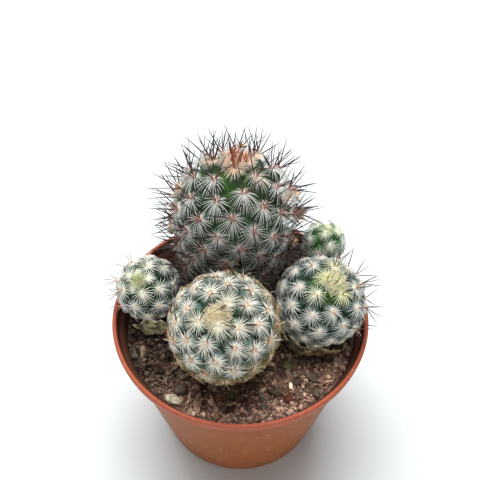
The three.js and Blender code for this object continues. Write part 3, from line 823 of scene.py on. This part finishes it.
def curved_lines(roots, flat, facing, lift, curl, lengths, steps):
    """Lines that leave their roots at a lift above the flat way and curl back down, in degrees."""
    along = (np.arange(steps - 1) + 0.5) / (steps - 1)
    angle = np.radians(lift[:, None] - curl[:, None] * along)
    ways = flat[:, None] * np.cos(angle)[..., None] + facing[:, None] * np.sin(angle)[..., None]
    moves = ways * lengths[:, None, None] / (steps - 1)
    return roots[:, None] + np.concatenate([np.zeros_like(moves[:, :1]), moves.cumsum(axis=1)], axis=1)


def draw_spines(lines, thick, sides=3):
    """Points and faces of spines or hairs along lines, widest at the root."""
    along = np.linspace(0, 1, lines.shape[1])
    return draw_out(lines, thick[:, None] / 2 * (1 - 0.78 * along ** 2), sides)


for number, (head, kind) in enumerate(zip(heads, radials)):
    areoles = Areoles(head)
    chance = np.random.default_rng(100 + number)
    count = kind["count"]
    owner = np.repeat(np.arange(len(areoles.tip)), count)
    total = len(owner)
    young = areoles.youth[owner]
    size = areoles.size[owner]
    star = np.tile((np.arange(count) + 0.5) * 2 * pi / count, len(areoles.tip))
    star += chance.normal(0, 0.035, total)
    star += kind["fan"] * np.sin(star)
    down = -np.cos(star)
    flat = areoles.across(owner, star)
    roots = areoles.tip[owner] + flat * 0.45 * size[:, None] + areoles.facing[owner] * 0.1
    stray = chance.random(total) < stray_share
    lift = kind["lift"] + kind["flare"] * down + chance.normal(0, 4, total)
    lift += kind["rise"] * young * (1 - down) / 2
    curl = kind["curl"] * (1 + 0.2 * down) * chance.uniform(0.92, 1.08, total)
    curl *= (1 - 0.6 * young) * (1 - 0.6 * stray)
    lengths = kind["length"] * (1 + kind["trail"] * down * (1 - kind["brush"] * young))
    lengths *= chance.uniform(0.9, 1.05, total) * size ** 0.5 * (1 - 0.25 * young) * (1 - 0.3 * stray)
    lines = curved_lines(roots, flat, areoles.facing[owner], lift + 10 * stray, curl, lengths, radial_steps)
    lines = keep_clear(lines, head)
    points, faces = draw_spines(lines, kind["thick"] * chance.uniform(0.8, 1.2, total))
    worn = areoles.low + kind["aging"] * np.clip(areoles.run / head.radius - 0.85, 0, 1)
    marks = dict(
        along=spread_along(np.linspace(0, 1, radial_steps) * np.ones((total, 1)), radial_steps),
        shade=spread_along(chance.random(total), radial_steps),
        worn=spread_along(np.clip(worn, 0, 1)[owner], radial_steps),
        youth=spread_along(young, radial_steps),
    )
    bristle = Finish(head.name + "_radial_finish", kind["colour"], Roughness=0.4, Specular_IOR_Level=0.5)
    along = bristle.mark("along")
    fresh = bristle.step(bristle.mark("youth"), 0.15, 0.55) * bristle.step(along, 1, 0.4)
    bristle.paint(kind["old"], bristle.step(bristle.mark("worn"), 0.15, 0.85))
    bristle.paint(kind["old"], 0.4 * bristle.step(bristle.mark("shade"), 0.7, 1))
    bristle.paint(kind["root"], bristle.step(along, 0.25, 0))
    bristle.paint(kind["young"], fresh)
    bristle.relief(bristle.grain(0.3, 2), 0.02)
    spines = make_piece(head.name + "_radial_spines", points, [faces], bristle, **marks)
    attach(spines, "root")

# Central spines
# A few stouter straight needles stand out of an areole of the four larger heads, horny and smooth. They are
# salmon at the root and dark brown to black at the point, and bright orange where they are young.
central_steps = 6
central_sides = 5
spine_limits = np.array([99, 59.4, 141])
centrals = [
    dict(least=4, most=6, length=13.8, thick=0.52, tilt=35, heading=180, sweep=360, side=None, fiery=0,
         budding=-0.5, crown_most=9, root=(190, 134, 124), middle=(76, 48, 44), point=(42, 34, 36)),
    dict(least=1, most=2, length=8.4, thick=0.42, tilt=56, heading=-10, sweep=90, side=None, fiery=0.4,
         budding=0, crown_most=0, root=(126, 72, 60), middle=(58, 36, 32), point=(38, 28, 26)),
    dict(least=1, most=3, length=9, thick=0.42, tilt=40, heading=180, sweep=120, side=(0.9, 0.1, 0.5),
         fiery=0, budding=0.9, crown_most=1, root=(186, 128, 92), middle=(86, 56, 46), point=(40, 32, 34)),
    dict(least=1, most=3, length=7, thick=0.36, tilt=40, heading=180, sweep=120, side=(-0.9, -0.1, 0.3),
         fiery=0, budding=0, crown_most=0, root=(226, 178, 160), middle=(170, 120, 110), point=(110, 80, 78)),
]
for number, (head, kind) in enumerate(zip(heads, centrals)):
    areoles = Areoles(head)
    chance = np.random.default_rng(200 + number)
    counts = chance.integers(kind["least"], kind["most"] + 1, len(areoles.tip))
    if kind["side"]:
        counts *= chance.random(len(areoles.tip)) < 1.8 * (areoles.out @ kind["side"] - 0.15)
    fiery = chance.random(len(areoles.tip)) < kind["fiery"] * (areoles.run > head.radius)
    counts += 2 * fiery + (areoles.youth > 0.55)
    counts = np.where(areoles.youth < 0.6, counts, np.minimum(counts, kind["crown_most"]))
    owner = np.repeat(np.arange(len(areoles.tip)), counts)
    place = np.concatenate([np.arange(count) / max(count, 1) for count in counts])
    total = len(owner)
    young = areoles.youth[owner]
    star = np.radians(kind["heading"] + kind["sweep"] * (place - 0.3)) + chance.normal(0, 0.3, total)
    flat = areoles.across(owner, star)
    roots = areoles.tip[owner] + areoles.facing[owner] * 0.1 + flat * 0.3
    tilt = (kind["tilt"] + chance.normal(0, 9, total)) * (1 - 0.7 * young)
    curl = chance.normal(0, 5, total)
    lengths = kind["length"] * chance.uniform(0.8, 1, total) * areoles.size[owner] ** 0.4
    lengths *= np.where(fiery[owner], 0.5, 1) * (1 + kind["budding"] * (young > 0.8))
    lines = curved_lines(roots, flat, areoles.facing[owner], 90 - tilt, curl, lengths, central_steps)
    room = (spine_limits - roots) / np.maximum(lines[:, -1] - roots, 0.01)
    lines = roots[:, None] + (lines - roots[:, None]) * np.clip(room.min(axis=1), 0.3, 1)[:, None, None]
    lines = keep_clear(lines, head, lying=False)
    points, faces = draw_spines(lines, kind["thick"] * chance.uniform(0.85, 1.15, total), central_sides)
    marks = dict(
        along=np.linspace(0, 1, central_steps) * np.ones((total, 1)),
        youth=np.maximum(young, fiery[owner]),
        bud=(young > 0.8) * float(kind["budding"] < 0),
        low=areoles.low[owner],
    )
    marks = {label: spread_along(values, central_steps, central_sides) for label, values in marks.items()}
    needle = Finish(head.name + "_central_finish", kind["root"], Roughness=0.34, Specular_IOR_Level=0.5)
    along = needle.mark("along") + 0.3 * (needle.grain(1.5, 2) - 0.5)
    fresh = needle.step(needle.mark("youth"), 0.5, 0.8) * needle.step(along - needle.mark("bud"), 0.75, 0.35)
    needle.paint((104, 70, 52), needle.step(needle.mark("low"), 0, 0.4))
    needle.paint(kind["middle"], needle.step(along, 0.04, 0.28))
    needle.paint(kind["point"], needle.step(along, 0.26, 0.58))
    needle.paint((198, 106, 58), fresh)
    needle.relief(needle.grain(0.25, 2), 0.02)
    spines = make_piece(head.name + "_central_spines", points, [faces], needle, **marks)
    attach(spines, "root")

# Wool
# Every areole bears a pad of short felted hairs, hollow in the middle where it is old, and the crown a thick
# mat or tuft of them, from which the young spines rise. It is white to straw-coloured.
pad_steps = 3
crown_steps = 4
pad_hair = 0.12
wools = [
    dict(pad=1, hairs=32, hollow=0.3, sunk=1.8, crown=620, reach=7.6, thick=(0.16, 0.38), long=(2.4, 5.6),
         stand=(60, 90), bend=(0, 20), colour=(252, 232, 220), old=(196, 160, 130),
         crown_colour=(255, 250, 240), streak=(240, 176, 112)),
    dict(pad=0.8, hairs=32, hollow=0.6, sunk=0.9, crown=1200, reach=5.3, thick=(0.2, 0.44), long=(1.2, 2.6),
         stand=(15, 85), bend=(20, 140), colour=(242, 226, 200), old=(216, 188, 136),
         crown_colour=(255, 252, 222), streak=(242, 208, 142)),
    dict(pad=0.9, hairs=24, hollow=0.9, sunk=1.2, crown=620, reach=5.2, thick=(0.14, 0.32), long=(2, 5),
         stand=(35, 88), bend=(0, 60), colour=(250, 242, 222), old=(216, 200, 166),
         crown_colour=(254, 255, 226), streak=(250, 248, 164)),
    dict(pad=0.85, hairs=20, hollow=0.5, sunk=0.7, crown=240, reach=2.4, thick=(0.18, 0.36), long=(2.6, 4.4),
         stand=(40, 85), bend=(0, 60), colour=(248, 244, 224), old=(212, 198, 162),
         crown_colour=(246, 250, 206), streak=(220, 226, 140)),
    dict(pad=0.95, hairs=24, hollow=0.4, sunk=0.9, crown=260, reach=2.6, thick=(0.16, 0.3), long=(1.4, 2.6),
         stand=(40, 85), bend=(0, 60), colour=(252, 252, 244), old=(222, 216, 180),
         crown_colour=(236, 246, 200), streak=(196, 220, 130)),
]
pad_points, pad_faces = ball(2)
pad_hollow = np.exp(-(pad_points[:, 0] ** 2 + pad_points[:, 1] ** 2) / 0.2) * (pad_points[:, 2] > 0)
even_pad = np.ones(len(pad_points))


def wool_mark(pads, pad_shape, hairs, tuft):
    """A mark for the points of the pads, then of the hairs on them, then of the crown's tuft."""
    over_pads = np.outer(pads, pad_shape).ravel()
    return np.concatenate([over_pads, spread_along(hairs, pad_steps), spread_along(tuft, crown_steps)])


for number, (head, kind) in enumerate(zip(heads, wools)):
    areoles = Areoles(head)
    chance = np.random.default_rng(300 + number)
    swell = kind["pad"] * areoles.size ** 0.7 * (1 + 0.2 * areoles.youth)
    count = len(swell)
    hollow = kind["hollow"] * chance.uniform(0.5, 1.1, count) * (1 - areoles.youth)
    shapes = swell[:, None] * (1, 0.85, 0.5) * chance.uniform(0.85, 1.15, (count, 1))
    lumps = pad_points * chance.uniform(0.8, 1.2, (count, len(pad_points), 1))
    lumps[..., 2] *= 1 - 1.1 * hollow[:, None] * pad_hollow
    turns = np.stack([areoles.up, np.cross(areoles.facing, areoles.up), areoles.facing], axis=2)
    middles = areoles.tip + areoles.facing * 0.05 + areoles.up * 0.25
    points, faces = strew(middles, shapes, turns, lumps, pad_faces)

    owner = np.repeat(np.arange(count), kind["hairs"])
    total = len(owner)
    heading = chance.uniform(0, 2 * pi, total)
    spread = (0.5 + 0.5 * chance.random(total)) * swell[owner]
    flat = areoles.across(owner, heading)
    roots = middles[owner] + flat * spread[:, None] * 0.8 + areoles.facing[owner] * 0.1
    stand, bend, long = [chance.uniform(*span, total) for span in ((25, 85), (0, 100), (0.6, 1.3))]
    lines = curved_lines(roots, flat, areoles.facing[owner], stand, bend, long * swell[owner], pad_steps)
    hair_points, hair_faces = draw_spines(lines, np.full(total, pad_hair))

    crown = kind["crown"]
    run = kind["reach"] * np.sqrt(chance.random(crown)) * chance.uniform(0.7, 1.05, crown)
    place, out, rising = head.surface(run, chance.uniform(0, 2 * pi, crown))
    heading = chance.uniform(0, 2 * pi, crown)[:, None]
    flat = rising * np.cos(heading) + np.cross(out, rising) * np.sin(heading)
    depth = np.clip(1.8 - 1.6 * run / kind["reach"], 0, 1)
    stand, bend, long, thick = [chance.uniform(*kind[of], crown) for of in ("stand", "bend", "long", "thick")]
    lines = curved_lines(place - out * kind["sunk"], flat, out, stand, bend, long, crown_steps)
    crown_points, crown_faces = draw_spines(lines, thick)

    marks = dict(
        crown=wool_mark(areoles.youth ** 2, even_pad, areoles.youth[owner] ** 2, depth),
        low=wool_mark(areoles.low, even_pad, areoles.low[owner], 0 * depth),
        shade=wool_mark(hollow, pad_hollow, 0.3 * chance.random(total), depth * chance.random(crown) ** 1.6),
    )
    felt = Finish(head.name + "_wool_finish", kind["colour"], Roughness=0.9, Specular_IOR_Level=0.1)
    felt.feed(felt.shader, "Sheen Weight", 0.3)
    felt.paint(kind["old"], felt.step(felt.mark("low"), 0.3, 0.9))
    felt.paint((168, 128, 96), felt.step(felt.mark("shade"), 0.1, 0.9))
    tuft = felt.mix(tint(*kind["crown_colour"]), tint(*kind["streak"]), felt.mark("shade"))
    felt.colour = felt.mix(felt.colour, tuft, felt.mark("crown"))
    felt.paint(kind["streak"], 0.3 * felt.step(felt.grain(1.2, 4), 0.5, 0.72))
    felt.relief(felt.grain(0.2, 3), 0.15)
    hair_faces += len(points)
    crown_faces += len(points) + len(hair_points)
    points = np.concatenate([points, hair_points, crown_points])
    wool = make_piece(head.name + "_wool", points, [faces, hair_faces, crown_faces], felt, **marks)
    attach(wool, "root")

# Withered flowers
# Spent flowers that dried where they stood, in the valleys of the main head: papery straw-coloured petals,
# crumpled and curled, each still held by its root.
petals = 9
crown_run = 12
# Each flower's angle round the head in degrees, its run from the apex and its size
withered = [
    (-18, 24.5, 5.2), (0, 38, 5.4), (8, 31.5, 4.4), (-16, 46.5, 4.6), (-174, 26, 4.4), (174, 37, 4.8),
    (178, 47.5, 4.6), (-164, 51, 4.2), (-148, 54, 3.6), (-88, 46, 3), (70, 36, 4), (115, 40, 4),
    (150, 34, 3.6), (80, 11, 3.2),
]
head = heads[0]
chance = np.random.default_rng(400)
angle, run, size = np.array(withered).T
place, out, up = head.surface(run, np.radians(angle))
place += out * (head.skin_height(place, run)[0] + np.where(run < crown_run, 3.4, 0.4))[:, None]
owner = np.repeat(np.arange(len(withered)), petals)
total = len(owner)
heading = np.tile(np.arange(petals) * 2 * pi / petals, len(withered)) + chance.normal(0, 0.5, total)
rise = chance.uniform(0.15, 1.2, total)[:, None]
flat = up[owner] * np.cos(heading)[:, None] + np.cross(out, up)[owner] * np.sin(heading)[:, None]
way = flat * np.cos(rise) + out[owner] * np.sin(rise)
aside = unit(np.cross(out[owner], way))
turns = np.stack([way, aside, np.cross(way, aside)], axis=2)
points, faces = ball(2)
bent = points * chance.uniform(0.8, 1.2, (total, len(points), 1))
bent[..., 2] *= 0.35
bent[..., 2] += chance.uniform(0.5, 2.2, (total, 1)) * bent[..., 0] ** 2
bent[..., 2] += chance.normal(0, 0.6, (total, 1)) * bent[..., 1]
size = size[owner][:, None]
points, faces = strew(place[owner] + way * 0.42 * size, size * (0.5, 0.2, 0.12), turns, bent, faces)
papery = Finish(head.name + "_flower_finish", (206, 160, 124), Roughness=0.8, Specular_IOR_Level=0.2)
papery.paint((254, 236, 212), papery.step(papery.grain(1.6, 4), 0.34, 0.6))
papery.relief(papery.grain(0.4, 4), 0.2)
flowers = make_piece(head.name + "_withered_flowers", points, [faces], papery)
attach(flowers, "root")

# Dried skin
# The oldest tubercles at the foot of the side heads have shrunk and dried to papery brown folds
# that still hang on the head, pale along their edges.
fold_steps = 110
fold_sides = 10
fold_depth = 0.4
folds = [
    ("head_right", (-168, -72), (42, 38), 3.6, 2, 0.6, 0.4, (156, 142, 100), (244, 236, 204)),
    ("head_right", (-116, -50), (39, 34), 2.8, 2.2, 0.5, 0.4, (140, 122, 86), (226, 212, 176)),
    # The left head's fold is painted paler than the right head's, partly its own paler tone and partly painted
    # light where the leaning head shades it.
    ("head_left", (-116, -58), (21, 24), 5.4, 3.4, 0.7, 1.1, (206, 196, 156), (252, 246, 220)),
]
for number, (name, angles, runs, width, stand, flare, pointed, middle, edge) in enumerate(folds):
    head = next(head for head in heads if head.name == name)
    run = np.linspace(*runs, fold_steps)
    place, out, up = head.surface(run, np.radians(np.linspace(*angles, fold_steps)))
    bulge = stand + 0.7 * ripple(place, 11, 500 + number)
    place += out * bulge[:, None] + up * (0.8 * ripple(place, 14, 510 + number))[:, None]
    taper = np.sin(np.linspace(0, pi, fold_steps)) ** pointed
    end = taper * (0.8 + 0.25 * ripple(place, 7, 530 + number)) + 0.02
    around = np.linspace(0, 2 * pi, fold_sides, endpoint=False)
    slant = sqrt(1 - flare ** 2) * up - flare * out
    broad = slant[:, None] * np.cos(around)[:, None] * (width * end)[:, None, None]
    deep = out[:, None] * np.sin(around)[:, None] * (fold_depth * end)[:, None, None]
    points = (place[:, None] + broad + deep).reshape(-1, 3)
    crumple = 0.7 * ripple(points, 6, 520 + number) + 0.16 * ripple(points, 2, 540 + number)
    points += np.repeat(out, fold_sides, axis=0) * crumple[:, None]
    last = (fold_steps - 1) * fold_sides
    ends = [(0, side + 1, side) for side in range(1, fold_sides - 1)]
    ends += [(last, last + side, last + side + 1) for side in range(1, fold_sides - 1)]
    darker = [level * 0.52 for level in middle]
    papery = Finish(f"dried_skin_{number + 1}_finish", darker, Roughness=0.85, Specular_IOR_Level=0.2)
    papery.paint(middle, papery.step(papery.grain(2.4, 5), 0.38, 0.62))
    papery.paint(edge, papery.step(papery.mark("edge") + 0.8 * papery.grain(2.5, 3), 1.1, 1.4))
    papery.relief(papery.grain(0.7, 4), 0.4)
    faces = [wrap(fold_steps, fold_sides), ends]
    edges = np.tile(np.abs(np.cos(around)), fold_steps)
    fold = make_piece(f"{name}_dried_skin_{number + 1}", points, faces, papery, edge=edges)
    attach(fold, "root")
